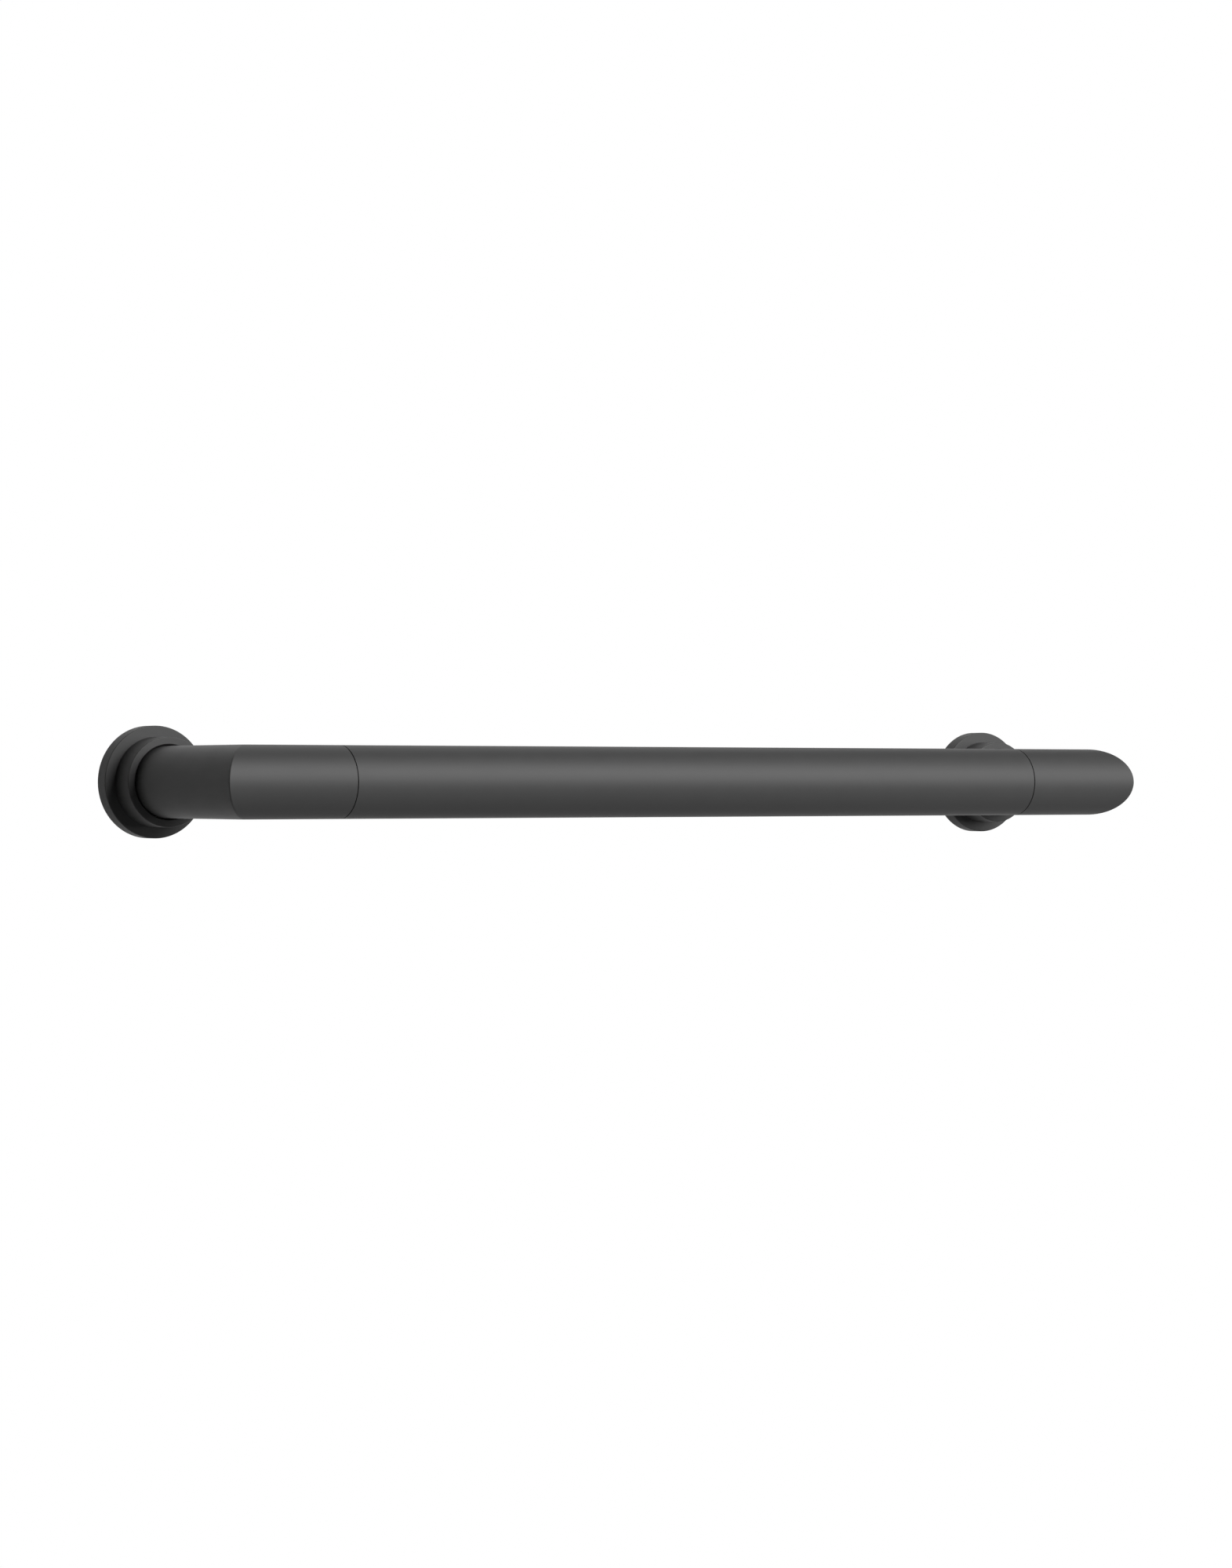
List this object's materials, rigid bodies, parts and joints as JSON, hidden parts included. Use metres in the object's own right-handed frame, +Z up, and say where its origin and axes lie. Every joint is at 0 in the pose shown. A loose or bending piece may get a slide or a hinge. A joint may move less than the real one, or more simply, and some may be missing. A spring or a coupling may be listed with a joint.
{
  "type": "heated towel rail",
  "caption": "Wall-mounted heated towel rail: a round bar on mitred elbow tubes, with stepped wall roses over screw plates and a dry heating cable with terminals inside.",
  "frame": {"origin": "on the wall plane, midway between the two posts, at the height of the bar's axis", "axes": "+X along the bar to the right, +Y into the wall, +Z up"},
  "size_m": [0.518, 0.105, 0.05],
  "materials": {
    "rail_coat": "satin black powder coat",
    "plate_steel": "turned stainless steel",
    "sleeve_alloy": "black anodised aluminium",
    "fastener_steel": "plain steel screws",
    "seal_rubber": "soft black rubber",
    "heater_silicone": "brick red silicone",
    "fuse_case": "drawn aluminium case",
    "tinned_copper": "tinned copper",
    "live_insulation": "brown insulation",
    "neutral_insulation": "blue insulation",
    "earth_insulation": "green and yellow insulation",
    "block_nylon": "natural nylon",
    "clamp_brass": "turned brass"
  },
  "bodies": {
    "root": {"heated_bar": "rail_coat", "left_elbow": "rail_coat", "right_elbow": "rail_coat", "left_rose": "rail_coat", "right_rose": "rail_coat", "left_wall_plate": "plate_steel", "right_wall_plate": "plate_steel", "left_joint_sleeve": "sleeve_alloy", "right_joint_sleeve": "sleeve_alloy", "post_grub_screws": "fastener_steel", "earth_stud": "fastener_steel", "earth_nut": "fastener_steel", "terminal_screws": "fastener_steel", "left_joint_seals": "seal_rubber", "right_joint_seals": "seal_rubber", "left_rose_seal": "seal_rubber", "right_rose_seal": "seal_rubber", "cable_grommet": "seal_rubber", "heating_cable": "heater_silicone", "thermal_fuse": "fuse_case", "neutral_splice": "tinned_copper", "earth_tag": "tinned_copper", "live_lead": "live_insulation", "neutral_lead": "neutral_insulation", "earth_lead": "earth_insulation", "terminal_block": "block_nylon", "terminal_clamps": "clamp_brass"}
  },
  "joints": []
}
